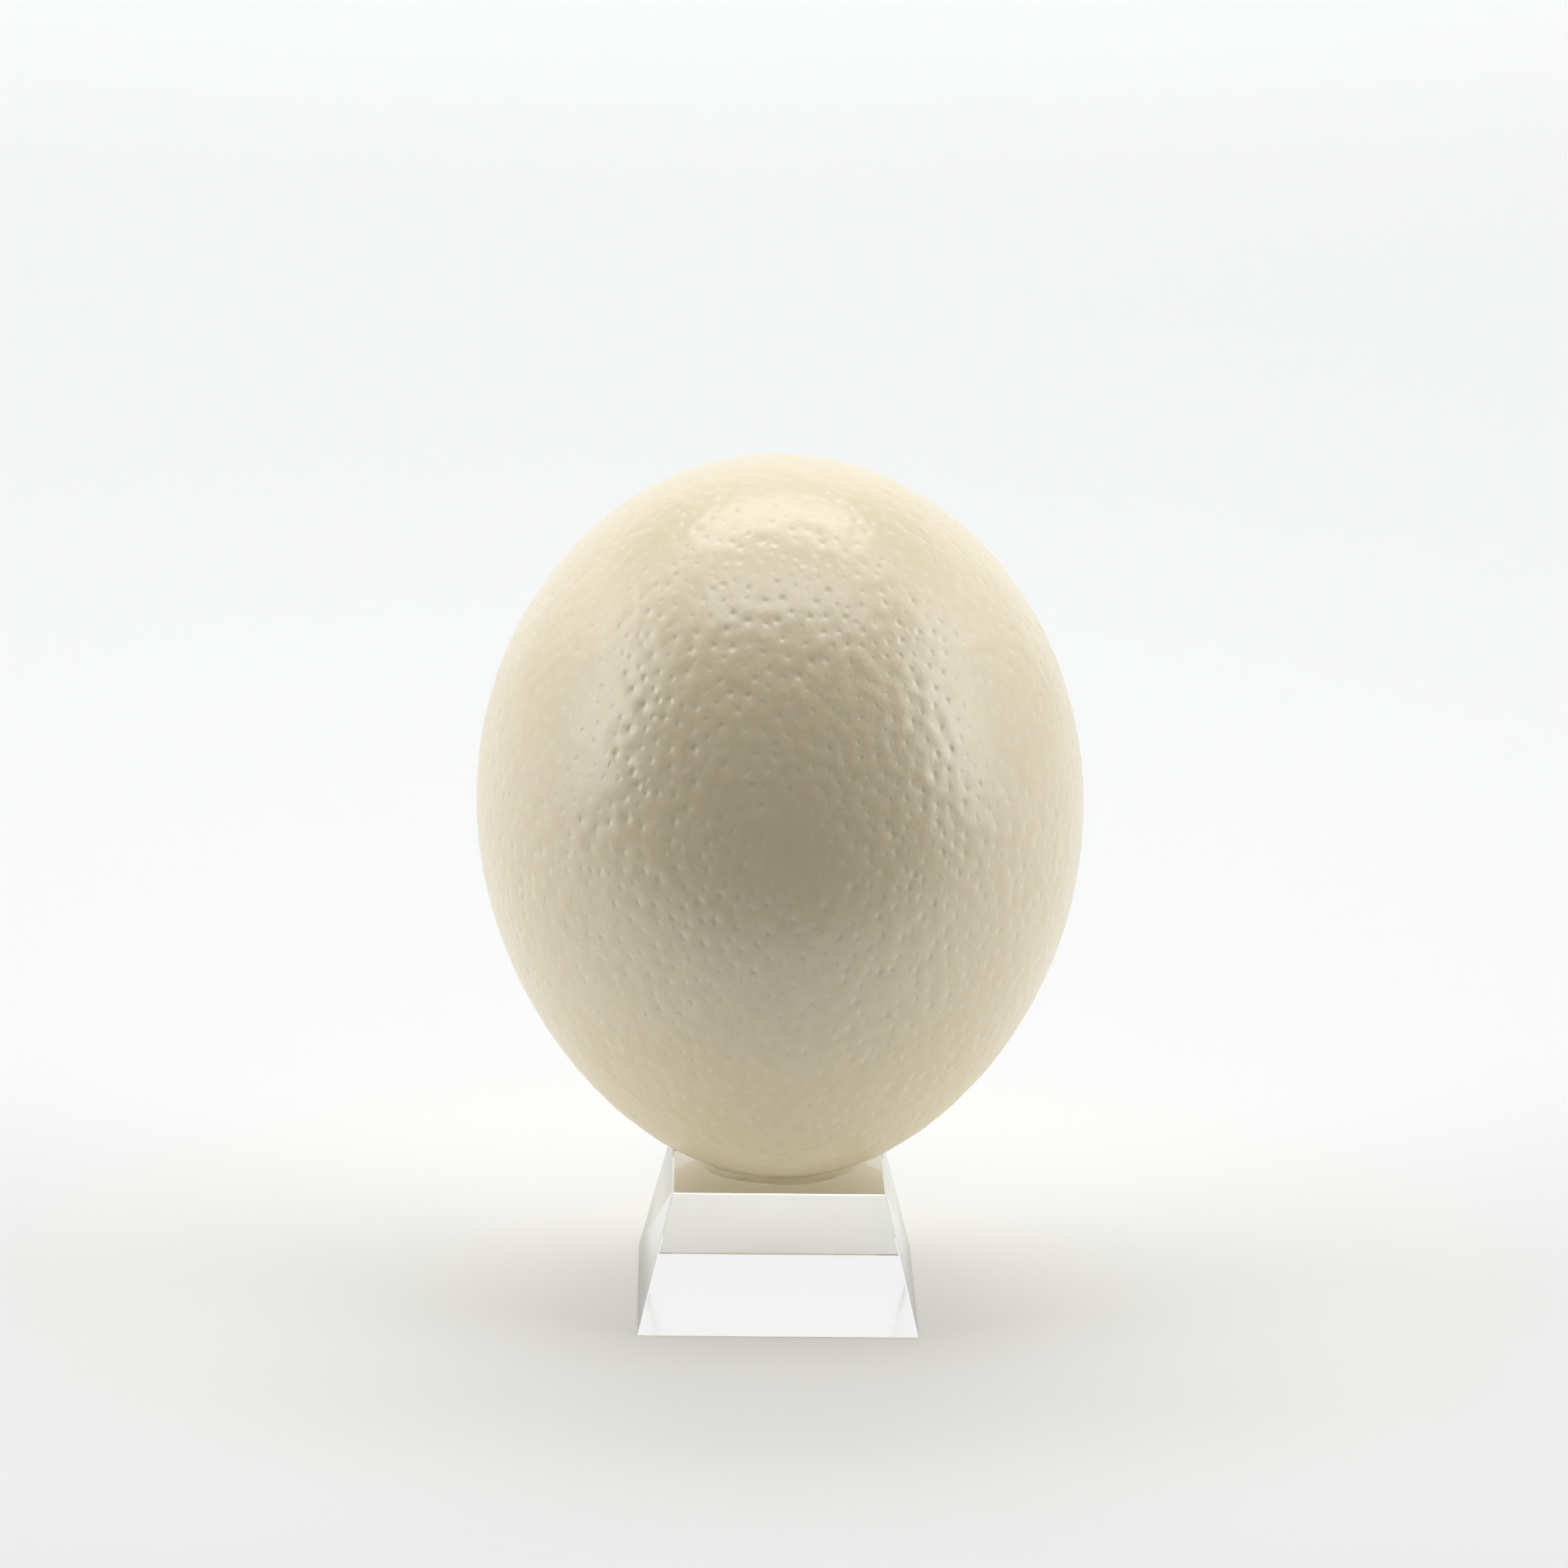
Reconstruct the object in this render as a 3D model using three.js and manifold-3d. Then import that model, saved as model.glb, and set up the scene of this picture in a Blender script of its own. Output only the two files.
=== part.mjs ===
// An ostrich egg standing small end down in the round seat of a clear block stand.
// Units are millimetres and +Z is up. The origin is the centre of the stand's bottom face,
// and the stand's front face looks along -Y.

import * as THREE from 'three';
import { ConvexGeometry } from 'three/addons/geometries/ConvexGeometry.js';
import { mergeVertices } from 'three/addons/utils/BufferGeometryUtils.js';
import Module from 'manifold-3d';

// Stand: a square block whose four sides lean in, with a fine polished chamfer on every edge.
const BASE_SIDE = 60;
const TOP_SIDE = 45.4;
const STAND_HEIGHT = 29.7;
const EDGE_CHAMFER = 0.5;

// Seat: a shallow hollow, part of a large sphere, in the middle of the stand's top face.
const SEAT_RIM_RADIUS = 17;
const SEAT_DEPTH = 1.9;
const SEAT_SIDES = 64;
const SEAT_RINGS = 8;

// Egg: its length runs from the small end below to the blunt end above.
const EGG_LENGTH = 156.7;
const EGG_WIDTH = 129.3;
const EGG_HEAVY_TOP = 0.0555; // how much wider the blunt half is than the small half
const EGG_SLIM_ENDS = -0.0448; // how much both ends draw in from an ellipse
const EGG_TIP = 0.0078; // how much the widest part and the blunt end differ from that
const EGG_LEAN_DEGREES = -1.6; // the blunt end leans towards -X
const EGG_OFFSET_X = -0.45;
const RESTING_GAP = 0.3;

// Pores: the shell is pitted all over, and each pit here is a three-sided hollow.
const PIT_COUNT = 1060;
const PIT_SPACING = 4.9; // no two pits are closer than this, centre to centre
const PIT_RADIUS_MIN = 0.7;
const PIT_RADIUS_MAX = 1.05;
const PIT_DEPTH_SHARE = 0.24; // a pit's depth as a share of its longest side
const PIT_SEED = 41;

const EGGSHELL = new THREE.MeshStandardMaterial({ color: 0xe4dac0, roughness: 0.35, metalness: 0 });
const CLEAR_BLOCK = new THREE.MeshStandardMaterial({
  color: 0xf4f7f6,
  roughness: 0.03,
  metalness: 0,
  transparent: true,
  opacity: 0.3,
});

const wasm = await Module();
wasm.setup();

// A repeatable stream of random numbers from 0 to 1.
function randomStream(seed) {
  let state = seed;
  return () => {
    state = (state + 0x6d2b79f5) | 0;
    let mixed = Math.imul(state ^ (state >>> 15), state | 1);
    mixed ^= mixed + Math.imul(mixed ^ (mixed >>> 7), mixed | 61);
    return ((mixed ^ (mixed >>> 14)) >>> 0) / 4294967296;
  };
}

function toSolid(geometry) {
  const bare = geometry.clone();
  bare.deleteAttribute('normal');
  bare.deleteAttribute('uv');
  const merged = mergeVertices(bare, 1e-4);
  const mesh = new wasm.Mesh({
    numProp: 3,
    vertProperties: new Float32Array(merged.getAttribute('position').array),
    triVerts: new Uint32Array(merged.index.array),
  });
  return new wasm.Manifold(mesh);
}

function toGeometry(solid) {
  const mesh = solid.getMesh();
  const geometry = new THREE.BufferGeometry();
  geometry.setAttribute('position', new THREE.BufferAttribute(mesh.vertProperties, 3));
  geometry.setIndex(new THREE.BufferAttribute(mesh.triVerts, 1));
  geometry.computeVertexNormals();
  return geometry;
}

// The block is the hull of its six faces, each drawn in from its edges by the chamfer.
// At a corner every pair of the three edges that meet there bounds one of those faces.
function blockGeometry() {
  const corner = (x, y, top) => {
    const half = (top ? TOP_SIDE : BASE_SIDE) / 2;
    return new THREE.Vector3(x * half, y * half, top ? STAND_HEIGHT : 0);
  };
  const points = [];
  for (const x of [-1, 1]) {
    for (const y of [-1, 1]) {
      for (const top of [false, true]) {
        const here = corner(x, y, top);
        const neighbours = [corner(-x, y, top), corner(x, -y, top), corner(x, y, !top)];
        const edges = neighbours.map((end) => end.sub(here).normalize());
        for (const [first, second] of [[0, 1], [1, 2], [2, 0]]) {
          const sine = new THREE.Vector3().crossVectors(edges[first], edges[second]).length();
          const inset = edges[first].clone().add(edges[second]).multiplyScalar(EDGE_CHAMFER / sine);
          points.push(inset.add(here));
        }
      }
    }
  }
  return new ConvexGeometry(points);
}

// The tool that sinks the seat: a slice of the seat's sphere, taller than the seat is deep.
function seatCutterGeometry() {
  const sphereRadius = (SEAT_RIM_RADIUS ** 2 + SEAT_DEPTH ** 2) / (2 * SEAT_DEPTH);
  const sliceHeight = SEAT_DEPTH * 1.5;
  const endAngle = Math.acos(1 - sliceHeight / sphereRadius);
  const profile = [];
  for (let ring = 0; ring <= SEAT_RINGS; ring += 1) {
    const angle = (endAngle * ring) / SEAT_RINGS;
    const height = sphereRadius * (1 - Math.cos(angle));
    profile.push(new THREE.Vector2(sphereRadius * Math.sin(angle), height));
  }
  profile.push(new THREE.Vector2(0, sliceHeight));
  const cutter = new THREE.LatheGeometry(profile, SEAT_SIDES);
  cutter.rotateX(Math.PI / 2);
  cutter.translate(0, 0, STAND_HEIGHT - SEAT_DEPTH);
  return cutter;
}

function makeStand() {
  const block = toSolid(blockGeometry());
  const cutter = toSolid(seatCutterGeometry());
  const stand = new THREE.Mesh(toGeometry(block.subtract(cutter)), CLEAR_BLOCK);
  stand.name = 'stand';
  return stand;
}

// The point of the shell that a direction from the egg's centre leads to.
function shellPoint(direction) {
  const s = direction.z;
  const fullness = 1 + s * (EGG_HEAVY_TOP + s * (EGG_SLIM_ENDS + s * EGG_TIP));
  const reach = (EGG_WIDTH / 2) * fullness;
  return new THREE.Vector3(direction.x * reach, direction.y * reach, (s * EGG_LENGTH) / 2);
}

function randomDirection(random) {
  const z = 2 * random() - 1;
  const turn = 2 * Math.PI * random();
  const flat = Math.sqrt(1 - z * z);
  return new THREE.Vector3(flat * Math.cos(turn), flat * Math.sin(turn), z);
}

// Directions of the pits, thrown at random and kept where no other pit is near.
function pitDirections(random) {
  const nearest = PIT_SPACING / (EGG_WIDTH / 2);
  const kept = [];
  while (kept.length < PIT_COUNT) {
    const direction = randomDirection(random);
    if (kept.every((other) => other.distanceTo(direction) > nearest)) {
      kept.push(direction);
    }
  }
  return kept;
}

// Three points of the shell around a pit, its mouth.
function pitMouth(direction, random) {
  const aside = new THREE.Vector3(direction.y, direction.z, direction.x).cross(direction).normalize();
  const across = new THREE.Vector3().crossVectors(direction, aside);
  const radius = PIT_RADIUS_MIN + (PIT_RADIUS_MAX - PIT_RADIUS_MIN) * random();
  const start = 2 * Math.PI * random();
  return [0, 1, 2].map((corner) => {
    const turn = start + (corner * 2 * Math.PI) / 3;
    const point = direction.clone();
    point.addScaledVector(aside, (radius * Math.cos(turn)) / (EGG_WIDTH / 2));
    point.addScaledVector(across, (radius * Math.sin(turn)) / (EGG_WIDTH / 2));
    return shellPoint(point.normalize());
  });
}

// The shell is the hull of the pits' mouths. A facet whose sides are all short is a mouth,
// and three facets that meet at the pit's floor take its place.
function eggGeometry() {
  const random = randomStream(PIT_SEED);
  const mouths = pitDirections(random).flatMap((direction) => pitMouth(direction, random));
  const corners = new ConvexGeometry(mouths).getAttribute('position');
  const facets = [];
  for (let first = 0; first < corners.count; first += 3) {
    const [a, b, c] = [0, 1, 2].map((step) => new THREE.Vector3().fromBufferAttribute(corners, first + step));
    const longest = Math.max(a.distanceTo(b), b.distanceTo(c), c.distanceTo(a));
    if (longest > PIT_RADIUS_MAX * 2) {
      facets.push(a, b, c);
      continue;
    }
    const facet = new THREE.Triangle(a, b, c);
    const outward = facet.getNormal(new THREE.Vector3());
    const floor = facet.getMidpoint(new THREE.Vector3());
    floor.addScaledVector(outward, -PIT_DEPTH_SHARE * longest);
    facets.push(a, b, floor, b, c, floor, c, a, floor);
  }
  const geometry = new THREE.BufferGeometry().setFromPoints(facets);
  return mergeVertices(geometry, 1e-4);
}

function makeEgg() {
  const egg = new THREE.Mesh(eggGeometry(), EGGSHELL);
  egg.name = 'egg';
  egg.rotation.y = THREE.MathUtils.degToRad(EGG_LEAN_DEGREES);
  egg.updateMatrixWorld(true);
  const lowest = new THREE.Box3().setFromObject(egg, true).min.z;
  egg.position.set(EGG_OFFSET_X, 0, STAND_HEIGHT - SEAT_DEPTH + RESTING_GAP - lowest);
  return egg;
}

const ostrichEggOnStand = new THREE.Group();
ostrichEggOnStand.add(makeStand(), makeEgg());

export default ostrichEggOnStand;
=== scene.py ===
import math
import random

import bmesh
import bpy
from mathutils import Matrix, Vector, kdtree, noise


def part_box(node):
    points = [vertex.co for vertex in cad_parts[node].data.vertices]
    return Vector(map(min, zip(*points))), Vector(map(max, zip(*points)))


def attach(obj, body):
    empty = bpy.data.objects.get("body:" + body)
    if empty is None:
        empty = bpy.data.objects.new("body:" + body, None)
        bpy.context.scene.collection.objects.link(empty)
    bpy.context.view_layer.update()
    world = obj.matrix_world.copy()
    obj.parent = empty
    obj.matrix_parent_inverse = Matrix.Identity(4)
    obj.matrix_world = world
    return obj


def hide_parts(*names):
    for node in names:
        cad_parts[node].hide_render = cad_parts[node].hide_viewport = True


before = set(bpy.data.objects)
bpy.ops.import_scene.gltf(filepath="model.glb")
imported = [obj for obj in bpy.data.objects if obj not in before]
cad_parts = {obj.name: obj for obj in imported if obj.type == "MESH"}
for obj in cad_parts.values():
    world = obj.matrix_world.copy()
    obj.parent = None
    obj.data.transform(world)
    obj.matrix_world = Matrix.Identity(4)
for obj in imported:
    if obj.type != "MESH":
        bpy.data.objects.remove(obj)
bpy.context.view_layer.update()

MM = 0.001

# ---------------------------------------------------------------- the egg, in millimetres

EGG_LENGTH = 156.7
EGG_WIDTH = 129.3
EGG_HEAVY_TOP = 0.0555    # how much wider the blunt half is than the small half
EGG_SLIM_ENDS = -0.0448   # how much both ends draw in from an ellipse
EGG_TIP = 0.0078          # more of the heavy top, felt mostly near the two tips
EGG_LEAN = math.radians(-1.6)
EGG_OFFSET_X = -0.45      # where the middle of the egg stands, from the middle of the stand

SHELL_GRAIN = 7           # subdivisions of the ball that the shell starts from
SHELL_SEED = 23
SWELL_HEIGHT, SWELL_SIZE = 0.35, 60  # broad unevenness of the whole shell
RIPPLE_HEIGHT, RIPPLE_SIZE = 0.12, 3.4  # fine unevenness between the pores

PORE_SPACING = (2.0, 3.3)  # each pore keeps the later ones this far away
PORE_RADIUS = (0.70, 0.98)
PORE_STRETCH = (1.0, 1.3)
PORE_STEEPNESS = (0.20, 0.36)  # a pore's depth as a share of its radius
PORE_SHOULDER = 0.09      # how far the shell around a pore's mouth is drawn in
PORE_FILL = 0.9           # the most that a mouth takes up of the face it is made from
PORE_ROAM = 0.95          # the share of that face that a mouth may wander over
PORE_FLOOR = 0.45         # the floor's width as a share of the mouth's
MOUTH_SINK = 0.45         # how far down the pore its mouth lies, as a share of its depth
RING_WIDTH = 0.25         # between a pore's rings when they are first made

CLOUD_SIZE = 45           # the shell's patches of deeper and paler cream
GRAIN_SIZE = 0.8          # the calcite's crystals, drawn coarser than they are so that they show
GRAIN_SHARE = 0.12        # how far a crystal goes over to its deeper colour
PORE_PAINTED_HIGHLIGHT = 0.5         # how far a pore's floor is painted paler: a painted highlight for the glint of its walls
PEEL_SIZE, PEEL_HEIGHT = 2.6, 0.14  # the waxy cuticle's own faint waves
SCATTER_DEPTH = 1.5       # how far light travels inside the shell
WORN_BELOW, WHOLE_ABOVE = 35, 90  # heights between which the shell's gloss comes in

# ---------------------------------------------------------------- the stand, in millimetres

BASE_SIDE = 60
TOP_SIDE = 45.4
STAND_HEIGHT = 29.7
EDGE_CHAMFER = 0.3
SEAT_RIM_RADIUS = 17
SEAT_DEPTH = 1.9
SEAT_RIM_CHAMFER = 0.15
SEAT_RINGS = 16
SEAT_SIDES = 128
CUTTER_RISE = 5           # rim chamfers that the seat's cutter stands above the block
SAME_PLACE = 1e-4         # points nearer to each other than this are merged
UNDERSIDE_HAZE = 0.15          # roughness of the underside, whose cream tint is a painted reflection of the egg's light

# ---------------------------------------------------------------- the camera

CAMERA_PLACE = (-25.3, -1455.7, 511.4)  # millimetres
CAMERA_YAW = 0.0175       # radians, as are the next two
CAMERA_PITCH = 0.2664
CAMERA_ROLL = -0.0139
CAMERA_LENS = 162.6
SENSOR_WIDTH = 36
CAMERA_REACH = 60         # metres


def make_camera():
    data = bpy.data.cameras.new("camera")
    data.sensor_width = SENSOR_WIDTH
    data.lens = CAMERA_LENS
    data.clip_end = CAMERA_REACH
    camera = bpy.data.objects.new("camera", data)
    forward = Vector((
        math.sin(CAMERA_YAW) * math.cos(CAMERA_PITCH),
        math.cos(CAMERA_YAW) * math.cos(CAMERA_PITCH),
        -math.sin(CAMERA_PITCH),
    ))
    level = forward.cross(Vector((0, 0, 1))).normalized()
    upright = level.cross(forward)
    right = level * math.cos(CAMERA_ROLL) - upright * math.sin(CAMERA_ROLL)
    up = upright * math.cos(CAMERA_ROLL) + level * math.sin(CAMERA_ROLL)
    turn = Matrix((right, up, -forward)).transposed().to_4x4()
    camera.matrix_world = Matrix.Translation(Vector(CAMERA_PLACE) * MM) @ turn
    bpy.context.collection.objects.link(camera)
    bpy.context.scene.camera = camera


# ---------------------------------------------------------------- materials

NOISE_LOW, NOISE_HIGH = 0.3, 0.7  # nearly all of a noise's values lie between these


def linear(colour):
    """A colour written as sRGB hex, as linear red, green, blue and alpha."""
    parts = [int(colour[at:at + 2], 16) / 255 for at in (1, 3, 5)]
    return [c / 12.92 if c <= 0.04045 else ((c + 0.055) / 1.055) ** 2.4 for c in parts] + [1.0]


def add(tree, kind, settings=(), values=(), links=()):
    """Adds a node: settings are its properties, values fill its sockets and links feed them."""
    node = tree.nodes.new(kind)
    for name, value in dict(settings).items():
        setattr(node, name, value)
    for socket, value in dict(values).items():
        node.inputs[socket].default_value = value
    for socket, source in dict(links).items():
        tree.links.new(source, node.inputs[socket])
    return node


def new_material(name):
    material = bpy.data.materials.new(name)
    material.use_nodes = True
    material.node_tree.nodes.clear()
    return material, material.node_tree


def eggshell():
    """Ostrich eggshell: calcite grown in the hen and closed by a thin waxy cuticle.

    The calcite is dense and cream, light enters it a little way, and the cuticle gives
    it a soft gloss. The pores' floors are painted paler, a painted highlight for the glint
    of their walls, and around the foot the cuticle is rubbed away.
    """
    material, tree = new_material("ostrich_eggshell")
    place = add(tree, "ShaderNodeTexCoord").outputs["Object"]

    clouds = add(tree, "ShaderNodeTexNoise",
                 values={"Scale": 1 / (CLOUD_SIZE * MM), "Detail": 3, "Roughness": 0.5},
                 links={"Vector": place})
    cream = add(tree, "ShaderNodeValToRGB", links={"Fac": clouds.outputs["Fac"]})
    deeper, paler = cream.color_ramp.elements
    deeper.position = NOISE_LOW
    deeper.color = linear("#efe1ba")
    paler.position = NOISE_HIGH
    paler.color = linear("#f4e6c1")

    grain = add(tree, "ShaderNodeTexNoise",
                values={"Scale": 1 / (GRAIN_SIZE * MM), "Detail": 2, "Roughness": 0.6},
                links={"Vector": place})
    grain_share = add(tree, "ShaderNodeMapRange",
                      values={"From Min": NOISE_LOW, "From Max": NOISE_HIGH,
                              "To Min": 0.0, "To Max": GRAIN_SHARE},
                      links={"Value": grain.outputs["Fac"]})
    grained = add(tree, "ShaderNodeMix", settings={"data_type": "RGBA"},
                  values={"B": linear("#e6d2a4")},
                  links={"Factor": grain_share.outputs["Result"], "A": cream.outputs["Color"]})

    # Painted highlight: each pore's floor is painted paler, standing in for the glint of its
    # walls.
    pore = add(tree, "ShaderNodeAttribute", settings={"attribute_name": "pore"})
    pore_highlight_share = add(tree, "ShaderNodeMath", settings={"operation": "MULTIPLY"},
               values={1: PORE_PAINTED_HIGHLIGHT}, links={0: pore.outputs["Fac"]})
    pore_highlighted = add(tree, "ShaderNodeMix", settings={"data_type": "RGBA"},
                 values={"B": linear("#fff6dc")},
                 links={"Factor": pore_highlight_share.outputs["Value"], "A": grained.outputs["Result"]})

    peel = add(tree, "ShaderNodeTexNoise",
               values={"Scale": 1 / (PEEL_SIZE * MM), "Detail": 2, "Roughness": 0.5},
               links={"Vector": place})
    bump = add(tree, "ShaderNodeBump", values={"Strength": 1.0, "Distance": PEEL_HEIGHT * MM},
               links={"Height": peel.outputs["Fac"]})

    height = add(tree, "ShaderNodeSeparateXYZ", links={0: place})
    kept = add(tree, "ShaderNodeMapRange", settings={"interpolation_type": "SMOOTHSTEP"},
               values={"From Min": WORN_BELOW * MM, "From Max": WHOLE_ABOVE * MM},
               links={"Value": height.outputs["Z"]})

    skin = add(tree, "ShaderNodeBsdfPrincipled",
               values={"Roughness": 0.4, "IOR": 1.6, "Coat Roughness": 0.3, "Coat IOR": 1.6,
                       "Subsurface Weight": 0.1, "Subsurface Radius": (1.0, 0.7, 0.4),
                       "Subsurface Scale": SCATTER_DEPTH * MM},
               links={"Base Color": pore_highlighted.outputs["Result"], "Normal": bump.outputs["Normal"],
                      "Coat Weight": kept.outputs["Result"]})
    add(tree, "ShaderNodeOutputMaterial", links={"Surface": skin.outputs["BSDF"]})
    return material


def clear_glass():
    """Optical glass: cast as a block, ground flat and polished, with no tint of its own.

    The underside is tinted cream and a little hazy: a painted reflection of the egg's warm light
    seen through the top. Lamplight passes the polished faces, and a third of it the underside.
    """
    material, tree = new_material("clear_optical_glass")
    place = add(tree, "ShaderNodeTexCoord").outputs["Object"]
    height = add(tree, "ShaderNodeSeparateXYZ", links={0: place})
    under = add(tree, "ShaderNodeMath", settings={"operation": "LESS_THAN"},
                values={1: EDGE_CHAMFER / 2 * MM}, links={0: height.outputs["Z"]})
    # Painted reflection: the underside is tinted cream in place of the egg's warm light seen
    # through the top.
    underside_painted_tint = add(tree, "ShaderNodeMix", settings={"data_type": "RGBA"},
               values={"A": linear("#fdfefd"), "B": linear("#e6d6ad")},
               links={"Factor": under.outputs["Value"]})
    haze = add(tree, "ShaderNodeMath", settings={"operation": "MULTIPLY"},
               values={1: UNDERSIDE_HAZE}, links={0: under.outputs["Value"]})
    body = add(tree, "ShaderNodeBsdfPrincipled",
               values={"IOR": 1.5, "Transmission Weight": 1.0},
               links={"Base Color": underside_painted_tint.outputs["Result"], "Roughness": haze.outputs["Value"]})
    lamplight = add(tree, "ShaderNodeMix", settings={"data_type": "RGBA"},
                    values={"A": linear("#faf7ef"), "B": linear("#969696")},
                    links={"Factor": under.outputs["Value"]})
    passed = add(tree, "ShaderNodeBsdfTransparent", links={"Color": lamplight.outputs["Result"]})
    ray = add(tree, "ShaderNodeLightPath")
    glass = add(tree, "ShaderNodeMixShader",
                links={0: ray.outputs["Is Shadow Ray"], 1: body.outputs["BSDF"],
                       2: passed.outputs["BSDF"]})
    add(tree, "ShaderNodeOutputMaterial", links={"Surface": glass.outputs["Shader"]})
    return material


def pale_paper():
    """Matte white background paper: wood pulp, pressed smooth and left uncoated."""
    material, tree = new_material("pale_paper")
    sheet = add(tree, "ShaderNodeBsdfPrincipled",
                values={"Base Color": linear("#f0f1f1"), "Roughness": 0.9,
                        "Specular IOR Level": 0.2})
    add(tree, "ShaderNodeOutputMaterial", links={"Surface": sheet.outputs["BSDF"]})
    return material


def black_card():
    """Matte black card: pulp dyed in the vat, with no gloss."""
    material, tree = new_material("black_card")
    sheet = add(tree, "ShaderNodeBsdfPrincipled",
                values={"Base Color": linear("#1a1a1a"), "Roughness": 1.0,
                        "Specular IOR Level": 0.0})
    add(tree, "ShaderNodeOutputMaterial", links={"Surface": sheet.outputs["BSDF"]})
    return material


# ---------------------------------------------------------------- from a shape to an object


def new_object(name, shape, material=None):
    """Turns a bmesh into an object of the scene."""
    mesh = bpy.data.meshes.new(name)
    shape.to_mesh(mesh)
    shape.free()
    if material:
        mesh.materials.append(material)
    result = bpy.data.objects.new(name, mesh)
    bpy.context.collection.objects.link(result)
    return result


def finish_piece(name, shape, material, node):
    """Puts a piece in place of its CAD node."""
    piece = new_object(name, shape, material)
    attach(piece, "root")
    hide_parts(node)


# ---------------------------------------------------------------- making the egg


def pore_places(shape, draw):
    """Vertices where pores go, taken at random and never side by side."""
    order = list(shape.verts)
    shape.verts.index_update()
    tree = kdtree.KDTree(len(order))
    for vert in order:
        tree.insert(vert.co, vert.index)
    tree.balance()
    draw.shuffle(order)
    barred = set()
    chosen = []
    for vert in order:
        if vert.index in barred:
            continue
        chosen.append(vert)
        apart = draw.uniform(*PORE_SPACING) * 2 / EGG_WIDTH
        barred.update(index for _, index, _ in tree.find_range(vert.co, apart))
    return chosen


def open_pores(shape, draw):
    """Makes each pore from the face left by its vertex: one ring for its mouth, one for its floor.

    The layer holds how deep each vertex lies below the shell, in millimetres.
    """
    deep = shape.verts.layers.float.new("pore")
    bmesh.ops.dissolve_verts(shape, verts=pore_places(shape, draw))
    pores = [face for face in shape.faces if len(face.verts) > 3]
    to_ball = 2 / EGG_WIDTH
    reaches = []
    for pore in pores:
        for vert in pore.verts:
            vert[deep] = PORE_SHOULDER
        centre = pore.calc_center_median()
        middles = [(edge.verts[0].co + edge.verts[1].co) / 2 for edge in pore.edges]
        reaches.append(min((middle - centre).length for middle in middles) / to_ball)
    rings = []
    for ring in range(2):
        bmesh.ops.inset_individual(shape, faces=pores, thickness=RING_WIDTH * to_ball, depth=0,
                                   use_even_offset=True)
        rings.append([list(pore.verts) for pore in pores])
    for pore, reach, mouth, floor in zip(pores, reaches, *rings):
        centre = pore.calc_center_median().normalized()
        aside = centre.orthogonal().normalized()
        aside.rotate(Matrix.Rotation(draw.uniform(0, math.tau), 3, centre))
        stretch = draw.uniform(*PORE_STRETCH)
        radius = min(draw.uniform(*PORE_RADIUS), PORE_FILL * reach / stretch)
        depth = radius * draw.uniform(*PORE_STEEPNESS)
        room = PORE_ROAM * reach - radius * stretch
        drift = aside * draw.uniform(-room, room)
        for ring, share, sink in ((mouth, 1.0, MOUTH_SINK), (floor, PORE_FLOOR, 1.0)):
            for vert in ring:
                arm = (vert.co - centre).normalized() * radius * share
                arm += aside * arm.dot(aside) * (stretch - 1)
                vert.co = (centre + (drift + arm) * to_ball).normalized()
                vert[deep] = depth * sink
    return deep


def shell_point(direction):
    """The smooth shell's surface along a direction from the egg's centre, in millimetres."""
    s = direction.z
    fullness = 1 + s * (EGG_HEAVY_TOP + s * (EGG_SLIM_ENDS + s * EGG_TIP))
    reach = EGG_WIDTH / 2 * fullness
    return Vector((direction.x * reach, direction.y * reach, s * EGG_LENGTH / 2))


def make_egg(material):
    shape = bmesh.new()
    bmesh.ops.create_icosphere(shape, subdivisions=SHELL_GRAIN, radius=1)
    deep = open_pores(shape, random.Random(SHELL_SEED))
    flatter = Vector((2 / EGG_WIDTH, 2 / EGG_WIDTH, 2 / EGG_LENGTH))
    deepest = max(PORE_RADIUS) * max(PORE_STEEPNESS)
    for vert in shape.verts:
        direction = vert.co.normalized()
        point = shell_point(direction)
        outward = (direction * flatter).normalized()
        swell = SWELL_HEIGHT * noise.noise(point / SWELL_SIZE)
        ripple = RIPPLE_HEIGHT * noise.noise(point / RIPPLE_SIZE)
        vert.co = (point + outward * (swell + ripple - vert[deep])) * MM
        vert[deep] /= deepest
    for face in shape.faces:
        face.smooth = True
    bmesh.ops.rotate(shape, verts=shape.verts, matrix=Matrix.Rotation(EGG_LEAN, 3, "Y"))
    lowest = min(vert.co.z for vert in shape.verts)
    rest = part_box("egg")[0][2]
    bmesh.ops.translate(shape, verts=shape.verts, vec=(EGG_OFFSET_X * MM, 0, rest - lowest))
    finish_piece("ostrich_egg", shape, material, "egg")


# ---------------------------------------------------------------- making the stand


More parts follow.
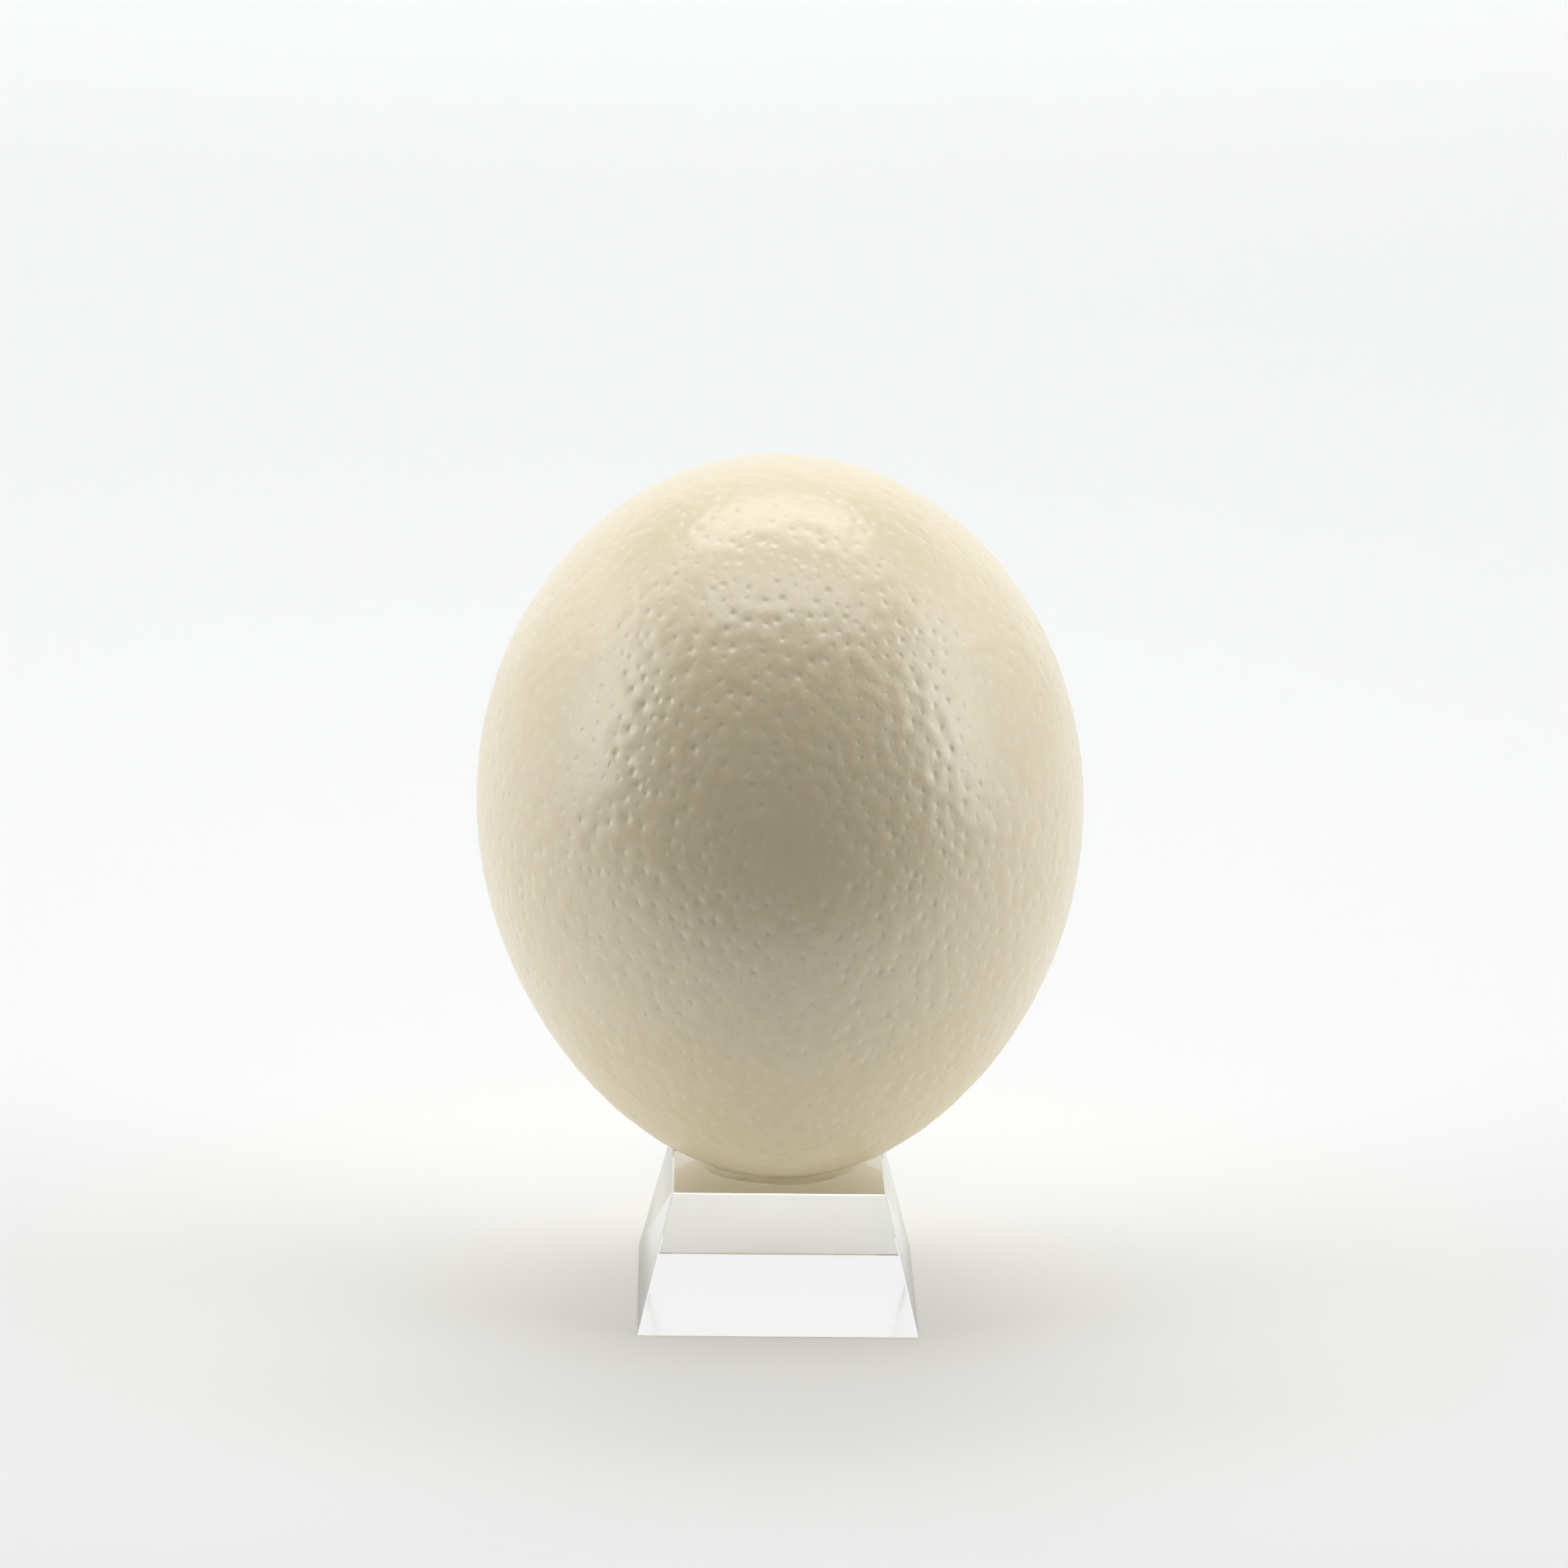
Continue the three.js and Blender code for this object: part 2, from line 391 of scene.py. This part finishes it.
def seat_cutter():
    """The lens that sinks the seat, spun from the seat's arc with a fine chamfer at its rim."""
    sphere_radius = (SEAT_RIM_RADIUS ** 2 + SEAT_DEPTH ** 2) / (2 * SEAT_DEPTH)
    end_angle = math.asin(SEAT_RIM_RADIUS / sphere_radius)
    shape = bmesh.new()
    profile = []
    for ring in range(SEAT_RINGS + 1):
        angle = end_angle * ring / SEAT_RINGS
        height = STAND_HEIGHT - SEAT_DEPTH + sphere_radius * (1 - math.cos(angle))
        profile.append(shape.verts.new((sphere_radius * math.sin(angle), 0, height)))
    profile[-1].co += Vector((-SEAT_RIM_CHAMFER, 0, -SEAT_RIM_CHAMFER * math.tan(end_angle)))
    rise = CUTTER_RISE * SEAT_RIM_CHAMFER
    profile.append(shape.verts.new((SEAT_RIM_RADIUS + rise, 0, STAND_HEIGHT + rise)))
    profile.append(shape.verts.new((0, 0, STAND_HEIGHT + rise)))
    edges = [shape.edges.new(pair) for pair in zip(profile, profile[1:])]
    bmesh.ops.spin(shape, geom=profile + edges, cent=(0, 0, 0), axis=(0, 0, 1), angle=math.tau,
                   steps=SEAT_SIDES, use_merge=True)
    bmesh.ops.remove_doubles(shape, verts=shape.verts, dist=SAME_PLACE)
    bmesh.ops.recalc_face_normals(shape, faces=shape.faces)
    return shape


def plain_block():
    """The block before its seat is cut, with all its edges chamfered."""
    shape = bmesh.new()
    bmesh.ops.create_cube(shape, size=1)
    for vert in shape.verts:
        top = vert.co.z > 0
        side = TOP_SIDE if top else BASE_SIDE
        vert.co = (vert.co.x * side, vert.co.y * side, STAND_HEIGHT if top else 0)
    bmesh.ops.bevel(shape, geom=shape.edges[:], offset=EDGE_CHAMFER, offset_type="WIDTH",
                    affect="EDGES", segments=1, profile=0.5, material=-1)
    return shape


def make_stand(material):
    shapes = {"block": plain_block(), "cutter": seat_cutter()}
    for shape in shapes.values():
        bmesh.ops.scale(shape, verts=shape.verts, vec=(MM, MM, MM))
    block, cutter = (new_object(name, shape) for name, shape in shapes.items())
    cut = block.modifiers.new("seat", "BOOLEAN")
    cut.operation = "DIFFERENCE"
    cut.solver = "EXACT"
    cut.object = cutter
    stand = bmesh.new()
    stand.from_object(block, bpy.context.evaluated_depsgraph_get())
    bpy.data.objects.remove(block)
    bpy.data.objects.remove(cutter)
    seat_top = (STAND_HEIGHT - SEAT_RIM_CHAMFER / 2) * MM
    for face in stand.faces:
        face.smooth = all(vert.co.xy.length < SEAT_RIM_RADIUS * MM and vert.co.z < seat_top
                          for vert in face.verts)
    for edge in stand.edges:
        edge.smooth = all(face.smooth for face in edge.link_faces)
    finish_piece("clear_stand", stand, material, "stand")


# ---------------------------------------------------------------- the studio, in metres

FLOOR_SIDE = 12
FLOOR_DROP = 0.00005      # keeps the floor's face clear of the stand's underside
FLAG_SIDE = 2.6
FLAG_DISTANCE = 0.24
FLAG_LIFT = 0.003


def stage_sheet(name, side, middle, material):
    """A square sheet of the studio, facing up."""
    shape = bmesh.new()
    bmesh.ops.create_grid(shape, x_segments=1, y_segments=1, size=side / 2)
    bmesh.ops.translate(shape, verts=shape.verts, vec=middle)
    sheet = new_object(name, shape, material)
    return sheet


def make_flag(material):
    """A dark flag on the floor in front, which keeps bounced light off the front of the egg.

    The camera doesn't see it, and it casts no shadow.
    """
    middle = (0, -FLAG_DISTANCE - FLAG_SIDE / 2, FLAG_LIFT)
    flag = stage_sheet("flag", FLAG_SIDE, middle, material)
    flag.visible_camera = False
    flag.visible_shadow = False


# Each panel: name, middle, the way it faces, width and height, brightness, and the angle in
# degrees that its light fills, which a grid in front narrows.
PANELS = (
    ("back_wall", (0, 2.40, 0.95), (0, -1, 0), (4.4, 1.9), 0.30, 180),
    ("far_overhead", (0, 1.95, 1.70), (0, 0.1, -1), (3.2, 0.5), 0.80, 130),
    ("far_left", (-1.90, 1.50, 1.40), (0.6, 0.1, -1), (0.6, 1.6), 0.30, 180),
    ("far_right", (1.90, 1.50, 1.40), (-0.6, 0.1, -1), (0.6, 1.6), 0.27, 180),
    ("overhead_back", (0, 0.55, 1.35), (0, 0, -1), (1.1, 0.6), 0.90, 180),
    ("overhead", (0, 0.0, 1.35), (0, 0, -1), (1.1, 0.35), 0.13, 180),
    ("overhead_front", (0, -0.35, 1.35), (0, 0, -1), (1.5, 0.35), 0.90, 180),
    ("overhead_left", (-1.10, 0.30, 1.35), (0.5, 0, -1), (0.6, 1.3), 0.48, 180),
    ("overhead_right", (1.10, 0.30, 1.35), (-0.5, 0, -1), (0.6, 1.3), 0.47, 180),
    ("left_wall", (-1.30, -0.02, 0.65), (1, 0, 0), (1.26, 1.3), 0.30, 180),
    ("right_wall", (1.30, -0.02, 0.65), (-1, 0, 0), (1.26, 1.3), 0.30, 180),
    ("left_wall_back", (-1.30, 1.00, 0.65), (1, 0, 0), (0.7, 1.3), 0.22, 180),
    ("right_wall_back", (1.30, 1.00, 0.65), (-1, 0, 0), (0.7, 1.3), 0.19, 180),
    ("left_grid", (-1.30, -0.35, 0.65), (1.2, 0.3, -0.45), (0.6, 1.3), 0.08, 60),
    ("right_grid", (1.30, -0.35, 0.65), (-1.2, 0.3, -0.45), (0.6, 1.3), 0.09, 60),
)
PANEL_POWER = 10          # watts a square metre at brightness 1
NARROW = 90               # the glass doesn't show a panel whose light fills less than this
ROOM_GLOW = 0.01          # strength of the light that the dark room gives back


def light_studio():
    """Soft panels behind, above and to both sides, and a dark room in front."""
    for name, middle, facing, (width, height), brightness, spread in PANELS:
        data = bpy.data.lights.new(name, "AREA")
        data.shape = "RECTANGLE"
        data.size = width
        data.size_y = height
        data.energy = PANEL_POWER * brightness * width * height
        data.spread = math.radians(spread)
        light = bpy.data.objects.new(name, data)
        light.location = middle
        light.rotation_euler = Vector(facing).to_track_quat("-Z", "Y").to_euler()
        light.visible_camera = False
        light.visible_transmission = spread > NARROW
        bpy.context.collection.objects.link(light)
    world = bpy.data.worlds.new("dark_room")
    world.use_nodes = True
    surround = world.node_tree.nodes["Background"]
    surround.inputs["Color"].default_value = linear("#ffffff")
    surround.inputs["Strength"].default_value = ROOM_GLOW
    bpy.context.scene.world = world
    bpy.context.scene.view_settings.view_transform = "Standard"


# ---------------------------------------------------------------- the scene

make_camera()
make_egg(eggshell())
make_stand(clear_glass())
stage_sheet("floor", FLOOR_SIDE, (0, 0, -FLOOR_DROP), pale_paper())
make_flag(black_card())
light_studio()
